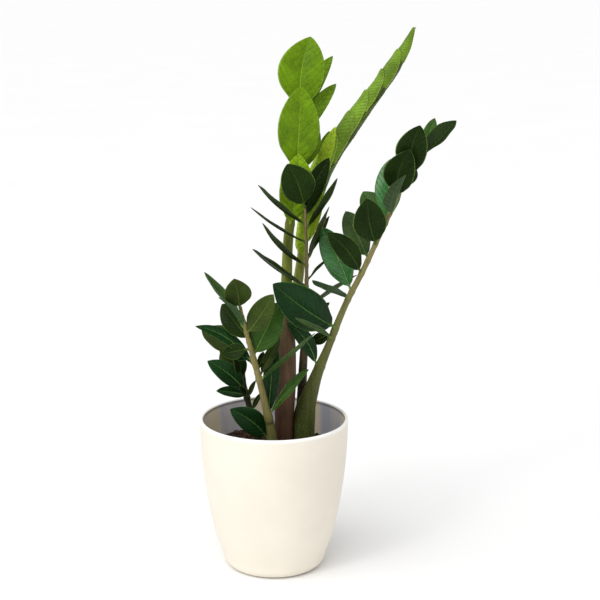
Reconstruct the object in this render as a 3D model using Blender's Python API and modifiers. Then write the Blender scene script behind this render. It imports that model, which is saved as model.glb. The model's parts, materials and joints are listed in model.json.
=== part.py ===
"""Potted ZZ plant: a cream pot with soil, six stems, their leaflets and a furled young shoot.

Frame: metres, +Z up. The origin is the centre of the pot's flat underside, and -Y is the side
that the plant shows to the viewer. Every design size below is in millimetres.
"""
import math
from collections import namedtuple

import bmesh
import bpy
from mathutils import Matrix, Vector

MM = 0.001

# Pot
POT_HEIGHT = 166.0
POT_RIM_RADIUS = 80.0
POT_WALL = 3.6
POT_FLOOR = 6.0
POT_BASE_RADIUS = 44.0
POT_FOOT_RADIUS = 56.5
POT_FOOT_HEIGHT = 14.0
POT_SWELL = 0.75
POT_STEPS = 44

# Soil
SOIL_HEIGHT = 129.0
SOIL_TILT = -0.03
SOIL_RIPPLE = 0.9
SOIL_STEPS = 28

# Clearances between pieces that would otherwise touch
GAP = 0.35
LEAF_STANDOFF = 1.4
SIDESTEP = 3.0

# Stems and leaflets
BURIED = 18.0
STEM_SAMPLES = 3
LEAF_THICKNESS = 1.0
LEAF_ROWS = 8
LEAF_BASE_WIDTH = 2.6
LEAF_TIP_WIDTH = 0.8
LEAF_WIDEST = 0.46
LEAF_STALK = 0.05
LEAF_FULLNESS = 0.68

# Furled leaflets of the young shoot
FURL_COUNT = 8
FURL_FIRST_HEIGHT = 332.0
FURL_SPACING = 33.0
FURL_LENGTHS = (80.0, 42.0)
FURL_RADII = (10.2, 4.8)
FURL_WIDTHS = (46.0, 17.0)
FURL_THICKNESS = 0.7
FURL_SWING = 35.0
FURL_SWELL = 0.6
FURL_STANDOFF = 1.8
FURL_FLARE = 1.6
FURL_ROWS = 12

# Colours, linear red, green and blue
CREAM = (0.86, 0.80, 0.69)
SOIL_BROWN = (0.055, 0.030, 0.018)
DARK = (0.012, 0.030, 0.006)
MID = (0.035, 0.090, 0.012)
PALE = (0.085, 0.150, 0.055)
BRIGHT = (0.115, 0.235, 0.004)
OLIVE = (0.047, 0.072, 0.012)
FURLED = (0.160, 0.280, 0.020)

Stem = namedtuple("Stem", "name colour points")
Leaf = namedtuple("Leaf", "height tip width face colour fold arch sway", defaults=(14.0, 0.05, 0.0))

# Each stem: points (x, y, z, radius) from the soil line to its end.
UPRIGHT = Stem("stem_upright", (0.16, 0.12, 0.03), (
    (10, 0, 129, 8.3), (11, 2, 165, 8.3), (13, 6, 205, 7.8), (14, 10, 245, 7.0), (14, 13, 282, 5.0),
    (14, 15, 320, 4.0), (16, 18, 363, 3.6), (22, 20, 408, 3.1), (26, 23, 455, 2.5), (28, 27, 496, 1.8)))
FURLED_SHOOT = Stem("stem_furled", (0.27, 0.31, 0.07), (
    (14, 24, 129, 5.5), (14, 26, 190, 5.2), (16, 29, 240, 5.0), (22, 31, 286, 5.0), (27, 33, 316, 4.6),
    (31, 35, 349, 3.4), (37, 39, 381, 2.8), (47, 44, 418, 2.5), (65, 49, 450, 2.3), (91, 55, 487, 2.0),
    (120, 61, 525, 1.6), (144, 65, 562, 1.1)))
MIDDLE = Stem("stem_middle", (0.20, 0.15, 0.08), (
    (28, 28, 129, 4.6), (30, 24, 184, 4.2), (32, 17, 231, 3.6), (35, 12, 271, 3.2), (35, 7, 311, 2.9),
    (35, 3, 344, 2.5), (34, -1, 372, 2.1), (33, -5, 400, 1.7)))
RIGHT = Stem("stem_right", (0.11, 0.13, 0.04), (
    (31, 7, 129, 11.2), (33, 6, 167, 11.0), (39, 4, 190, 9.0), (47, 1, 216, 6.4), (57, -2, 242, 5.0),
    (67, -6, 270, 4.6), (78, -10, 298, 4.0), (93, -14, 329, 3.7), (107, -18, 361, 3.2),
    (120, -22, 391, 2.7), (132, -26, 421, 2.3), (144, -30, 442, 1.9), (153, -33, 457, 1.5)))
FRONT = Stem("stem_front", (0.25, 0.22, 0.07), (
    (0, -17, 129, 6.8), (-2, -19, 150, 5.2), (-4, -20, 164, 4.6), (-10, -24, 193, 3.8), (-16, -28, 221, 3.3),
    (-23, -33, 250, 2.7), (-29, -38, 275, 2.1), (-34, -42, 300, 1.6)))
BACK = Stem("stem_back", (0.05, 0.06, 0.02), (
    (-16, 20, 129, 4.6), (-26, 25, 164, 3.6), (-32, 30, 187, 2.9), (-36, 36, 211, 2.4), (-40, 42, 236, 1.8)))

# Each leaflet: the height at which it leaves its stem, its tip, its width, the way its upper
# side looks, its colour, its fold along the midrib in degrees, and its arch towards the upper
# side and its sideways sway, both per length.
LEAVES = {
    UPRIGHT: (
        Leaf(500, (39, 40, 569), 49, (0, -1, 0.15), BRIGHT, 10, 0.03, -0.06),
        Leaf(434, (29, 8, 520), 44, (-0.1, -1, 0.1), BRIGHT, 10, 0.03, 0.01),
        Leaf(377, (27, 12, 450), 36, (0, -1, 0.1), BRIGHT, 10, 0.02, 0.03),
        Leaf(480, (63, 72, 547), 18, (0.3, -1, 0.3), BRIGHT, 10, 0.0, -0.05),
        Leaf(466, (66, 42, 520), 17, (0.3, -1, 0.4), BRIGHT, 18, 0.0, -0.05),
        Leaf(430, (50, 48, 478), 24, (0.3, -1, 0.3), MID, 14, 0.05, 0.05)),
    MIDDLE: (
        Leaf(402, (15, -14, 443), 36, (0, -1, 0.2), DARK, 10, 0.04, 0.05),
        Leaf(388, (60, 16, 449), 26, (0.3, -1, 0.2), DARK, 10, 0.02, -0.06),
        Leaf(380, (-15, -14, 421), 26, (0.6, 0, 0.7), DARK, 20, -0.06),
        Leaf(360, (-23, -10, 397), 26, (0.6, 0.15, 0.8), DARK, 6, -0.04),
        Leaf(335, (-11, -8, 380), 24, (0.6, 0.2, 0.7), DARK, 15, -0.09),
        Leaf(312, (-21, -26, 356), 24, (0.6, 0, 0.8), DARK, 15, -0.04),
        Leaf(377, (66, -26, 430), 22, (-0.7, 0.1, 0.6), DARK, 12, -0.05),
        Leaf(344, (58, -23, 400), 24, (-0.8, 0.1, 0.5), MID, 6, 0.0),
        Leaf(288, (89, 28, 317), 24, (-0.5, 0, 0.8), MID, 8, 0.0)),
    RIGHT: (
        Leaf(270, (0, -38, 322), 42, (0.1, -1, 0.3), DARK, 10, 0.03, -0.03),
        Leaf(258, (25, -78, 295), 18, (0, 0.4, 1), MID, 8, 0.0),
        Leaf(228, (14, -2, 272), 22, (-0.2, -1, 0.3), DARK, 10, 0.0, 0.1),
        Leaf(303, (41, -52, 329), 24, (0, 0.2, 1), MID, 8, -0.03),
        Leaf(312, (51, 3, 374), 31, (-0.3, -1, 0.2), MID, 10, 0.03, 0.03),
        Leaf(332, (56, -34, 375), 24, (-0.5, -0.55, 0.7), DARK, 12, 0.02, 0.06),
        Leaf(346, (76, 8, 390), 26, (0.3, -0.8, -0.5), PALE, 10),
        Leaf(363, (96, -38, 411), 35, (0, -1, 0.2), DARK, 10, 0.03, -0.04),
        Leaf(394, (133, -66, 439), 17, (-0.4, 0.8, 0.5), PALE, 10, 0.0, 0.12),
        Leaf(386, (124, 12, 452), 30, (-0.2, -1, 0.3), MID, 10),
        Leaf(414, (138, -48, 462), 32, (0, -1, 0.3), DARK, 10, 0.03, -0.09),
        Leaf(436, (148, -44, 486), 32, (0, -1, 0.3), DARK, 10, 0.03, -0.07),
        Leaf(457, (187, -20, 488), 28, (-0.4, -0.4, 0.8), DARK, 22, -0.03),
        Leaf(448, (168, 12, 487), 14, (0, -1, 0.3), MID)),
    FRONT: (
        Leaf(303, (-39, -54, 331), 28, (0, -1, 0.3), OLIVE, 10, 0.03, 0.03),
        Leaf(290, (-72, -13, 329), 27, (0.7, -0.15, 0.7), MID, 15, -0.05),
        Leaf(279, (-54, -70, 315), 20, (0.5, 0.3, 0.7), DARK),
        Leaf(263, (-54, -14, 295), 25, (-0.4, -0.8, 0.3), DARK),
        Leaf(234, (-81, -34, 276), 15, (0.3, -0.8, 0.6), MID, 10, 0.0, 0.12),
        Leaf(272, (1, -56, 315), 25, (-0.3, -1, 0.2), OLIVE, 10, 0.03, 0.03),
        Leaf(246, (7, -32, 301), 34, (-0.1, -1, 0.3), MID, 10, 0.03),
        Leaf(219, (43, -52, 273), 26, (-0.4, 0.2, 0.8), MID, 12, -0.02),
        Leaf(180, (37, -44, 232), 22, (-0.4, -0.4, 0.8), MID, 8, 0.0, -0.03),
        Leaf(176, (0, -2, 255), 18, (0.1, -1, 0.1), DARK, 8),
        Leaf(147, (-41, -44, 183), 26, (0, -1, 0.4), DARK, 10, 0.05, 0.06)),
    BACK: (
        Leaf(190, (-72, 14, 225), 22, (0.1, -1, 0.4), DARK, 10, 0.03, 0.05),
        Leaf(184, (-62, -2, 196), 13, (0, -0.8, 0.5), DARK),
        Leaf(228, (-80, 47, 251), 34, (0.2, -0.6, 0.8), OLIVE),
        Leaf(206, (-57, 54, 230), 30, (0, -1, 0.3), OLIVE, 4, 0.0)),
}


def clear_scene():
    """Remove whatever objects the file opened with."""
    for thing in list(bpy.data.objects):
        bpy.data.objects.remove(thing, do_unlink=True)


def new_collection(name):
    """Make a collection and link it to the scene."""
    collection = bpy.data.collections.new(name)
    bpy.context.scene.collection.children.link(collection)
    return collection


def move_to(thing, collection):
    """Keep an object in one collection only."""
    for owner in list(thing.users_collection):
        owner.objects.unlink(thing)
    collection.objects.link(thing)


def paint(thing, colour, roughness):
    """Give an object its own Principled material."""
    material = bpy.data.materials.new(thing.name)
    material.use_nodes = True
    shader = material.node_tree.nodes["Principled BSDF"]
    shader.inputs["Base Color"].default_value = (*colour, 1.0)
    shader.inputs["Roughness"].default_value = roughness
    shader.inputs["Metallic"].default_value = 0.0
    thing.data.materials.append(material)


def smooth(thing, angle=40.0):
    """Shade smooth, keeping edges sharper than the angle."""
    thing.data.shade_smooth()
    thing.data.set_sharp_from_angle(angle=math.radians(angle))


# ---------------------------------------------------------------- turned pieces

def pot_radius(height):
    """Outer radius of the pot at a height: a rounded foot, then a side that swells to the rim."""
    if height < POT_FOOT_HEIGHT:
        drop = 1.0 - height / POT_FOOT_HEIGHT
        return POT_BASE_RADIUS + (POT_FOOT_RADIUS - POT_BASE_RADIUS) * math.sqrt(1.0 - drop * drop)
    rise = (height - POT_FOOT_HEIGHT) / (POT_HEIGHT - POT_FOOT_HEIGHT)
    swell = math.sin(0.5 * math.pi * rise) ** POT_SWELL
    return POT_FOOT_RADIUS + (POT_RIM_RADIUS - POT_FOOT_RADIUS) * swell


def side_points(bottom, top, inset, count):
    """Points (radius, height) up a side that lies inset from the pot's outer face."""
    heights = [bottom + (top - bottom) * i / (count - 1) for i in range(count)]
    return [(pot_radius(h) - inset, h) for h in heights]


def turned(name, outline, steps, collection):
    """Turn an outline, which ends by running down its outer side, about the Z axis."""
    mesh = bpy.data.meshes.new(name)
    points = [(radius * MM, 0.0, height * MM) for radius, height in outline]
    mesh.from_pydata(points, [(i, i + 1) for i in range(len(points) - 1)], [])
    thing = bpy.data.objects.new(name, mesh)
    collection.objects.link(thing)
    turn = thing.modifiers.new("Turn", "SCREW")
    turn.steps = steps
    turn.render_steps = steps
    turn.use_merge_vertices = True
    turn.merge_threshold = 0.00001
    return thing


def make_pot(collection):
    """Hollow pot with a rounded rim and a rounded foot."""
    half_wall = 0.5 * POT_WALL
    rim_height = POT_HEIGHT - half_wall
    inner = [(0.0, POT_FLOOR), (POT_BASE_RADIUS, POT_FLOOR)]
    inner += side_points(POT_FLOOR + 6.0, rim_height, POT_WALL, 7)
    rim_middle = pot_radius(rim_height) - half_wall
    angles = [math.pi * (1.0 - i / 4.0) for i in range(1, 4)]
    rim = [(rim_middle + half_wall * math.cos(a), rim_height + half_wall * math.sin(a)) for a in angles]
    outer = side_points(rim_height, POT_FOOT_HEIGHT, 0.0, 8)
    foot_turns = [math.radians(a) for a in (25.0, 50.0, 72.0, 90.0)]
    foot_reach = POT_FOOT_RADIUS - POT_BASE_RADIUS
    foot = [(POT_BASE_RADIUS + foot_reach * math.cos(a), POT_FOOT_HEIGHT * (1.0 - math.sin(a)))
            for a in foot_turns]
    pot = turned("pot", inner + rim + outer + foot + [(0.0, 0.0)], POT_STEPS, collection)
    paint(pot, CREAM, 0.45)
    smooth(pot)
    return pot


def make_soil(collection):
    """Soil that fills the pot, gently uneven on top, before the stems' pockets are cut."""
    clearance = POT_WALL + GAP
    top_edge = pot_radius(SOIL_HEIGHT) - clearance - 0.3
    rings = [(top_edge * i / 5.0, SOIL_HEIGHT) for i in range(6)]
    side = side_points(SOIL_HEIGHT - 6.0, POT_FLOOR + 8.0, clearance + 0.3, 5)
    floor = POT_FLOOR + GAP
    soil = turned("soil", rings + side + [(POT_BASE_RADIUS - 1.0, floor), (0.0, floor)],
                  SOIL_STEPS, collection)
    make_plain_mesh(soil)
    for vertex in soil.data.vertices:
        if vertex.co.z > (SOIL_HEIGHT - 1.0) * MM:
            ripple = math.sin(vertex.co.x / (11.0 * MM)) * math.cos(vertex.co.y / (13.0 * MM))
            vertex.co.z += SOIL_TILT * vertex.co.x + SOIL_RIPPLE * MM * ripple
    paint(soil, SOIL_BROWN, 0.95)
    return soil


def make_plain_mesh(thing):
    """Replace an object's mesh by its evaluated mesh and drop the modifiers."""
    evaluated = thing.evaluated_get(bpy.context.evaluated_depsgraph_get())
    mesh = bpy.data.meshes.new_from_object(evaluated)
    thing.modifiers.clear()
    thing.data = mesh


# ---------------------------------------------------------------- stems

def blend(before, start, end, after, t):
    """Catmull-Rom blend between start and end, on tuples of any length."""
    values = []
    for p0, p1, p2, p3 in zip(before, start, end, after):
        curve = 2 * p1 + (p2 - p0) * t
        curve += (2 * p0 - 5 * p1 + 4 * p2 - p3) * t ** 2
        curve += (3 * p1 - p0 - 3 * p2 + p3) * t ** 3
        values.append(0.5 * curve)
    return tuple(values)


def smooth_path(points, samples):
    """Points on a smooth curve through the design points."""
    ends = (points[0], *points, points[-1])
    path = []
    for before, start, end, after in zip(ends, ends[1:], ends[2:], ends[3:]):
        path += [blend(before, start, end, after, i / samples) for i in range(samples)]
    return path + [tuple(float(value) for value in points[-1])]


def stem_path(stem):
    """Centre line of a stem, with a straight buried end below the soil line."""
    path = smooth_path(stem.points, STEM_SAMPLES)
    x, y, z, radius = path[0]
    return [(x, y, z - BURIED, 0.75 * radius), (x, y, z - 0.4 * BURIED, radius)] + path


def stem_at(stem, height):
    """Centre and radius of a stem at a height, held at its two ends."""
    path = smooth_path(stem.points, 8)
    for low, high in zip(path, path[1:]):
        if height <= high[2]:
            t = max(0.0, (height - low[2]) / (high[2] - low[2]))
            x, y, z, radius = (a + (b - a) * t for a, b in zip(low, high))
            return Vector((x, y, z)), radius
    x, y, z, radius = path[-1]
    return Vector((x, y, z)), radius


def make_tube(name, path, collection, grow=0.0):
    """Tube along a path of (x, y, z, radius), as a welded mesh with closed ends."""
    curve = bpy.data.curves.new(name, "CURVE")
    curve.dimensions = "3D"
    curve.bevel_depth = MM
    curve.bevel_resolution = 2
    curve.use_fill_caps = True
    curve.render_resolution_u = 0
    spline = curve.splines.new("POLY")
    spline.points.add(len(path) - 1)
    for point, (x, y, z, radius) in zip(spline.points, path):
        point.co = (x * MM, y * MM, z * MM, 1.0)
        point.radius = radius + grow
    wire = bpy.data.objects.new(name + "_curve", curve)
    collection.objects.link(wire)
    evaluated = wire.evaluated_get(bpy.context.evaluated_depsgraph_get())
    mesh = bpy.data.meshes.new_from_object(evaluated)
    weld(mesh)
    tube = bpy.data.objects.new(name, mesh)
    tube.matrix_world = wire.matrix_world.copy()
    collection.objects.link(tube)
    bpy.data.objects.remove(wire, do_unlink=True)
    return tube


def weld(mesh):
    """Join the loose caps of a curve's mesh and turn all faces outward."""
    cage = bmesh.new()
    cage.from_mesh(mesh)
    bmesh.ops.remove_doubles(cage, verts=cage.verts, dist=0.00001)
    bmesh.ops.recalc_face_normals(cage, faces=cage.faces)
    cage.to_mesh(mesh)
    cage.free()


def make_stem(stem, soil, parts, cutters):
    """Stem standing in its own pocket in the soil."""
    path = stem_path(stem)
    tube = make_tube(stem.name, path, parts)
    paint(tube, stem.colour, 0.5)
    smooth(tube, 60.0)
    x, y, z, radius = path[0]
    pocket = make_tube("pocket_" + stem.name, [(x, y, z - GAP, radius)] + path[:5], cutters, GAP)
    pocket.hide_render = True
    pocket.display_type = "WIRE"
    cut = soil.modifiers.new("Pocket", "BOOLEAN")
    cut.operation = "DIFFERENCE"
    cut.object = pocket


# ---------------------------------------------------------------- leaflets

def leaf_half_width(along, width):
    """Half the width of a leaflet at a place along it: ovate, with a drawn-out tip."""
    along = max(0.0, (along - LEAF_STALK) / (1.0 - LEAF_STALK))
    rise = LEAF_FULLNESS
    fall = rise * (1.0 - LEAF_WIDEST) / LEAF_WIDEST
    peak = LEAF_WIDEST ** rise * (1.0 - LEAF_WIDEST) ** fall
    body = along ** rise * (1.0 - along) ** fall / peak
    ends = LEAF_BASE_WIDTH + (LEAF_TIP_WIDTH - LEAF_BASE_WIDTH) * along
    return 0.5 * (ends + (width - ends) * body)


def leaf_frame(leaf, stem):
    """Where a leaflet starts, and its across, along and upper-side directions."""
    centre, radius = stem_at(stem, leaf.height)
    tip = Vector(leaf.tip)
    beside, _ = stem_at(stem, tip.z)
    outward = tip - beside
    outward.z = 0.0
    outward.normalize()
    facing = Vector((leaf.face[0], leaf.face[1], 0.0))
    outward = (outward + facing * outward.dot(facing) * SIDESTEP).normalized()
    start = centre + outward * (radius + LEAF_STANDOFF)
    along = tip - start
    length = along.length
    along.normalize()
    up = Vector(leaf.face)
    up = (up - along * up.dot(along)).normalized()
    return start, along.cross(up), along, up, length


def grid(name, rows, collection):
    """Flat grid one unit square, two cells wide and some rows long, centred on the origin."""
    bpy.ops.mesh.primitive_grid_add(x_subdivisions=2, y_subdivisions=rows, size=1.0)
    thing = bpy.context.active_object
    thing.name = name
    move_to(thing, collection)
    return thing


def make_leaf(name, leaf, stem, collection):
    """Leaflet: a grid shaped to the outline, folded along its midrib and arched, then thickened."""
    start, across, along, up, length = leaf_frame(leaf, stem)
    blade = grid(name, LEAF_ROWS, collection)
    for vertex in blade.data.vertices:
        t = vertex.co.y + 0.5
        side = 2.0 * vertex.co.x * leaf_half_width(t, leaf.width)
        bow = 4.0 * t * (1.0 - t) * length
        lift = abs(side) * math.tan(math.radians(leaf.fold)) + leaf.arch * bow
        place = Vector((side + leaf.sway * bow, t * length, lift))
        vertex.co = place * MM
    blade.matrix_world = Matrix((
        (across.x, along.x, up.x, start.x * MM),
        (across.y, along.y, up.y, start.y * MM),
        (across.z, along.z, up.z, start.z * MM),
        (0.0, 0.0, 0.0, 1.0)))
    thicken(blade, LEAF_THICKNESS)
    paint(blade, leaf.colour, 0.35)
    smooth(blade, 60.0)


def thicken(blade, thickness):
    """Give an open sheet its thickness, half to each side."""
    solid = blade.modifiers.new("Thickness", "SOLIDIFY")
    solid.thickness = thickness * MM
    solid.offset = 0.0


# ---------------------------------------------------------------- furled shoot

def mix(pair, t):
    """Value between the two of a pair."""
    return pair[0] + (pair[1] - pair[0]) * t


def shoot_axis():
    """Centre line of the furled shoot, run on straight past its end: points, distances, directions."""
    path = [Vector(p[:3]) for p in smooth_path(FURLED_SHOOT.points, STEM_SAMPLES)]
    path = [p for p in path if p.z >= FURL_FIRST_HEIGHT]
    last = (path[-1] - path[-2]).normalized()
    path += [path[-1] + last * step for step in (15.0, 30.0, 60.0)]
    distances = [0.0]
    for low, high in zip(path, path[1:]):
        distances.append(distances[-1] + (high - low).length)
    ends = [path[0], *path, path[-1]]
    directions = [(after - before).normalized() for before, after in zip(ends, ends[2:])]
    return path, distances, directions


def on_axis(axis, distance):
    """Point and direction on the shoot's centre line at a distance from its first leaflet."""
    path, distances, directions = axis
    i = 0
    while i < len(path) - 2 and distance > distances[i + 1]:
        i += 1
    t = (distance - distances[i]) / (distances[i + 1] - distances[i])
    return path[i].lerp(path[i + 1], t), directions[i].lerp(directions[i + 1], t).normalized()


def make_furled_leaf(index, axis, collection):
    """Leaflet rolled round the shoot's centre line; each one wraps those above it."""
    age = index / (FURL_COUNT - 1)
    length = mix(FURL_LENGTHS, age)
    width = mix(FURL_WIDTHS, age)
    outer = mix(FURL_RADII, age)
    first = index * FURL_SPACING
    base, _ = on_axis(axis, first)
    _, stem_radius = stem_at(FURLED_SHOOT, base.z)
    inner = stem_radius + FURL_STANDOFF
    swing = math.radians(FURL_SWING if index % 2 else -FURL_SWING)
    blade = grid("furled_leaf_%02d" % (index + 1), FURL_ROWS, collection)
    widen_grid(blade)
    for vertex in blade.data.vertices:
        t = vertex.co.y + 0.5
        centre, ahead = on_axis(axis, first + t * length)
        left = Vector((-ahead.z, 0.0, ahead.x)).normalized()
        front = ahead.cross(left)
        radius = inner + (outer - inner) * t ** FURL_SWELL + FURL_FLARE * t ** 5
        reach = min(leaf_half_width(t, width) / radius, 2.7)
        turn = swing + 2.0 * vertex.co.x * reach
        spoke = left * math.cos(turn) + front * math.sin(turn)
        vertex.co = (centre + spoke * radius) * MM
    thicken(blade, FURL_THICKNESS)
    paint(blade, FURLED, 0.4)
    smooth(blade, 60.0)


def widen_grid(blade):
    """Cut each half of a two-cell-wide grid into four, so that it can roll."""
    cage = bmesh.new()
    cage.from_mesh(blade.data)
    crosswise = [e for e in cage.edges if abs(e.verts[0].co.y - e.verts[1].co.y) < 1e-6]
    bmesh.ops.subdivide_edges(cage, edges=crosswise, cuts=3, use_grid_fill=True)
    cage.to_mesh(blade.data)
    cage.free()


def main():
    """Build every piece."""
    clear_scene()
    parts = new_collection("potted_zz_plant")
    cutters = new_collection("cutters")
    make_pot(parts)
    soil = make_soil(parts)
    for stem in (UPRIGHT, FURLED_SHOOT, MIDDLE, RIGHT, FRONT, BACK):
        make_stem(stem, soil, parts, cutters)
        for number, leaf in enumerate(LEAVES.get(stem, ()), start=1):
            name = "%s_%02d" % (stem.name.replace("stem", "leaf"), number)
            make_leaf(name, leaf, stem, parts)
    axis = shoot_axis()
    for index in range(FURL_COUNT):
        make_furled_leaf(index, axis, parts)


main()
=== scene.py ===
"""Looks of the potted ZZ plant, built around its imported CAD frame.

Every leaflet, stem and furled leaflet is measured from its own CAD node and rebuilt as a fine
mesh. Lengths are in millimetres while a shape is worked out, and in metres in the meshes.
"""
import json
import math
import random
from collections import namedtuple

import bpy
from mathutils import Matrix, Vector
import numpy as np


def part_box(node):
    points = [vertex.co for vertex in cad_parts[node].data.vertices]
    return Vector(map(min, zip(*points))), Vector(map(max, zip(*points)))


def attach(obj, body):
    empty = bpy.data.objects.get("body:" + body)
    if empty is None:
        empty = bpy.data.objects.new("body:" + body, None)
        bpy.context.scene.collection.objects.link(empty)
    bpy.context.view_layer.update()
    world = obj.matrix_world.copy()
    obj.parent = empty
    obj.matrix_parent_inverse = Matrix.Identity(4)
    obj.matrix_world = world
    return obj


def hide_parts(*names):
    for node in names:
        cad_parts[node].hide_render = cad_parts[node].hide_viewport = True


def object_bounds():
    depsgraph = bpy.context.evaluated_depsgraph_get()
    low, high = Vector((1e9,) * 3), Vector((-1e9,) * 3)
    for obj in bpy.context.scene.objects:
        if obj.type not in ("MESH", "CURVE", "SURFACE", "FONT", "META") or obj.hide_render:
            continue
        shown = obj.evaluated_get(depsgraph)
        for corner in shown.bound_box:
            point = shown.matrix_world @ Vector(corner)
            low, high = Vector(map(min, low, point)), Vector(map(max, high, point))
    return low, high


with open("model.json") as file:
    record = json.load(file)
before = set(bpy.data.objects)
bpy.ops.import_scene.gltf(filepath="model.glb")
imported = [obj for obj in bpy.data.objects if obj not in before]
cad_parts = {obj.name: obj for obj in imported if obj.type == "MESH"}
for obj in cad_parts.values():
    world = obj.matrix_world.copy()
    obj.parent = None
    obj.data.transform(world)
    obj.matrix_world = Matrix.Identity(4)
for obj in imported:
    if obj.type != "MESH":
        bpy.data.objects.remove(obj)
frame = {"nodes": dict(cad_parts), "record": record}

CAD_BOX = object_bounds()
MM = 0.001
NODES = sorted(frame["nodes"])
COLOURS = {m["slot"]: m["base_color"][:3] for m in frame["record"]["materials"]}

# Camera, in metres: the same viewing angle as the photograph
CAMERA_PLACE = (0.028, -1.5, 0.65)
CAMERA_DOWN = 13.28
CAMERA_LENS = 87.24
FLOOR_REACH = 40.0

# Stems: step between the slices that measure them, and the mesh, joints and scars
SLICE_STEP = 5.0
SLICE_INSET = 0.4
PATH_OVERRUN = 60.0
STEM_SIDES = 22
STEM_ROW_GAP = 1.6
JOINT_SWELL = 0.45
JOINT_WIDTH = 2.4
SCAR_WIDTH = 1.3

# Leaflets: rows of a CAD blade, size of a mesh cell, and thickness, midrib, veins and stalk
CAD_ROWS = 8
CELL = 1.7
BLADE_THICKNESS = 0.55
MARGIN_THICKNESS = 0.26
RIB_WIDTH = 1.1
RIB_DEPTH = 0.35
RIB_HEIGHT = 0.65
VEIN_PAIRS = 9.0
VEIN_DEPTH = 0.22
STALK_RADIUS = 1.25
TIP_WIDTH = 0.25


# Looks of the leaflets, colours linear: upper side, underside, veins, margin, strength of the side
# veins and of the midrib, roughness, depth of the vein relief and specular level
Tone = namedtuple("Tone", "upper under vein margin line rib gloss relief shine")
TONES = {
    "dark": Tone((0.0105, 0.026, 0.003), (0.022, 0.042, 0.008), (0.08, 0.14, 0.03), (0.2, 0.32, 0.07),
                 0.2, 0.5, 0.26, 1.1, 0.06),
    "deep": Tone((0.006, 0.038, 0.007), (0.026, 0.066, 0.016), (0.13, 0.26, 0.06), (0.10, 0.22, 0.05),
                 0.2, 0.85, 0.22, 1.3, 0.16),
    "mid": Tone((0.030, 0.082, 0.008), (0.045, 0.09, 0.02), (0.16, 0.31, 0.05), (0.14, 0.28, 0.05),
                0.2, 0.7, 0.26, 0.9, 0.16),
    "olive": Tone((0.036, 0.060, 0.010), (0.045, 0.062, 0.014), (0.13, 0.17, 0.04), (0.13, 0.17, 0.05),
                  0.22, 0.65, 0.30, 1.0, 0.07),
    # Light green of young leaflets, made brighter still: painted light standing in for light shining
    # through them.
    "fresh_and_lit": Tone((0.115, 0.225, 0.003), (0.17, 0.32, 0.01), (0.27, 0.43, 0.04), (0.30, 0.45, 0.06),
                  0.42, 0.8, 0.30, 1.0, 0.10),
    # Brighter again: painted light on a young leaflet held in full light, over its own light green.
    "fresh_and_sunlit": Tone((0.19, 0.34, 0.008), (0.25, 0.42, 0.02), (0.34, 0.52, 0.05), (0.40, 0.56, 0.09),
                  0.42, 0.8, 0.30, 1.0, 0.10),
    # Yellow-green of young leaflets, partly painted light: made brighter to stand in for light shining
    # through them.
    "lime": Tone((0.38, 0.56, 0.025), (0.34, 0.5, 0.04), (0.58, 0.74, 0.16), (0.54, 0.68, 0.14),
                 0.4, 0.6, 0.34, 0.9, 0.12),
    "furled": Tone((0.15, 0.27, 0.018), (0.20, 0.33, 0.025), (0.36, 0.5, 0.1), (0.45, 0.56, 0.14),
                   0.42, 0.5, 0.30, 1.0, 0.14),
    # Painted shade: a darker tone for the leaflets on the furled shoot's far side.
    "shaded": Tone((0.055, 0.105, 0.012), (0.06, 0.11, 0.015), (0.2, 0.3, 0.06), (0.3, 0.42, 0.09),
                   0.3, 0.5, 0.34, 1.0, 0.10),
    "glossy": Tone((0.03, 0.15, 0.028), (0.05, 0.11, 0.03), (0.24, 0.42, 0.16), (0.16, 0.32, 0.07),
                   0.45, 0.6, 0.13, 1.6, 0.6),
    "pale": Tone((0.045, 0.085, 0.025), (0.045, 0.08, 0.03), (0.16, 0.26, 0.09), (0.15, 0.24, 0.08),
                 0.35, 0.6, 0.30, 1.1, 0.06),
}
TONE_OF_LEAF = {
    "fresh_and_lit": "upright_01 upright_02 upright_04 upright_05 upright_06",
    "fresh_and_sunlit": "upright_03",
    "mid": "right_02 front_07 front_09 front_08 right_14 front_02",
    "deep": "right_01 right_03 front_10 front_11 front_03 front_05 right_04 back_01 back_02",
    "olive": "front_01 front_06 back_03 back_04 middle_08 middle_09",
    "glossy": "right_05 right_10",
    "pale": "right_07 right_09",
}

# Leaflets resized over their CAD blades: shares of the length and of the width
RESIZED = {
    "leaf_middle_02": (0.94, 0.82), "leaf_right_03": (1.0, 0.78), "leaf_right_10": (0.9, 0.95),
    "leaf_upright_06": (0.9, 0.7), "leaf_right_02": (1.05, 0.75)}
# Leaflets turned about their midribs towards the front, in degrees
TURNED = {
    "leaf_middle_03": 8.0, "leaf_middle_04": 4.0, "leaf_middle_05": 5.0, "leaf_middle_07": 15.0,
    "leaf_middle_08": 7.0}
# Leaflets moved a little from their CAD places, in millimetres
SHIFTED = {"leaf_front_11": (-5.0, 16.0, 1.0)}
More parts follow.
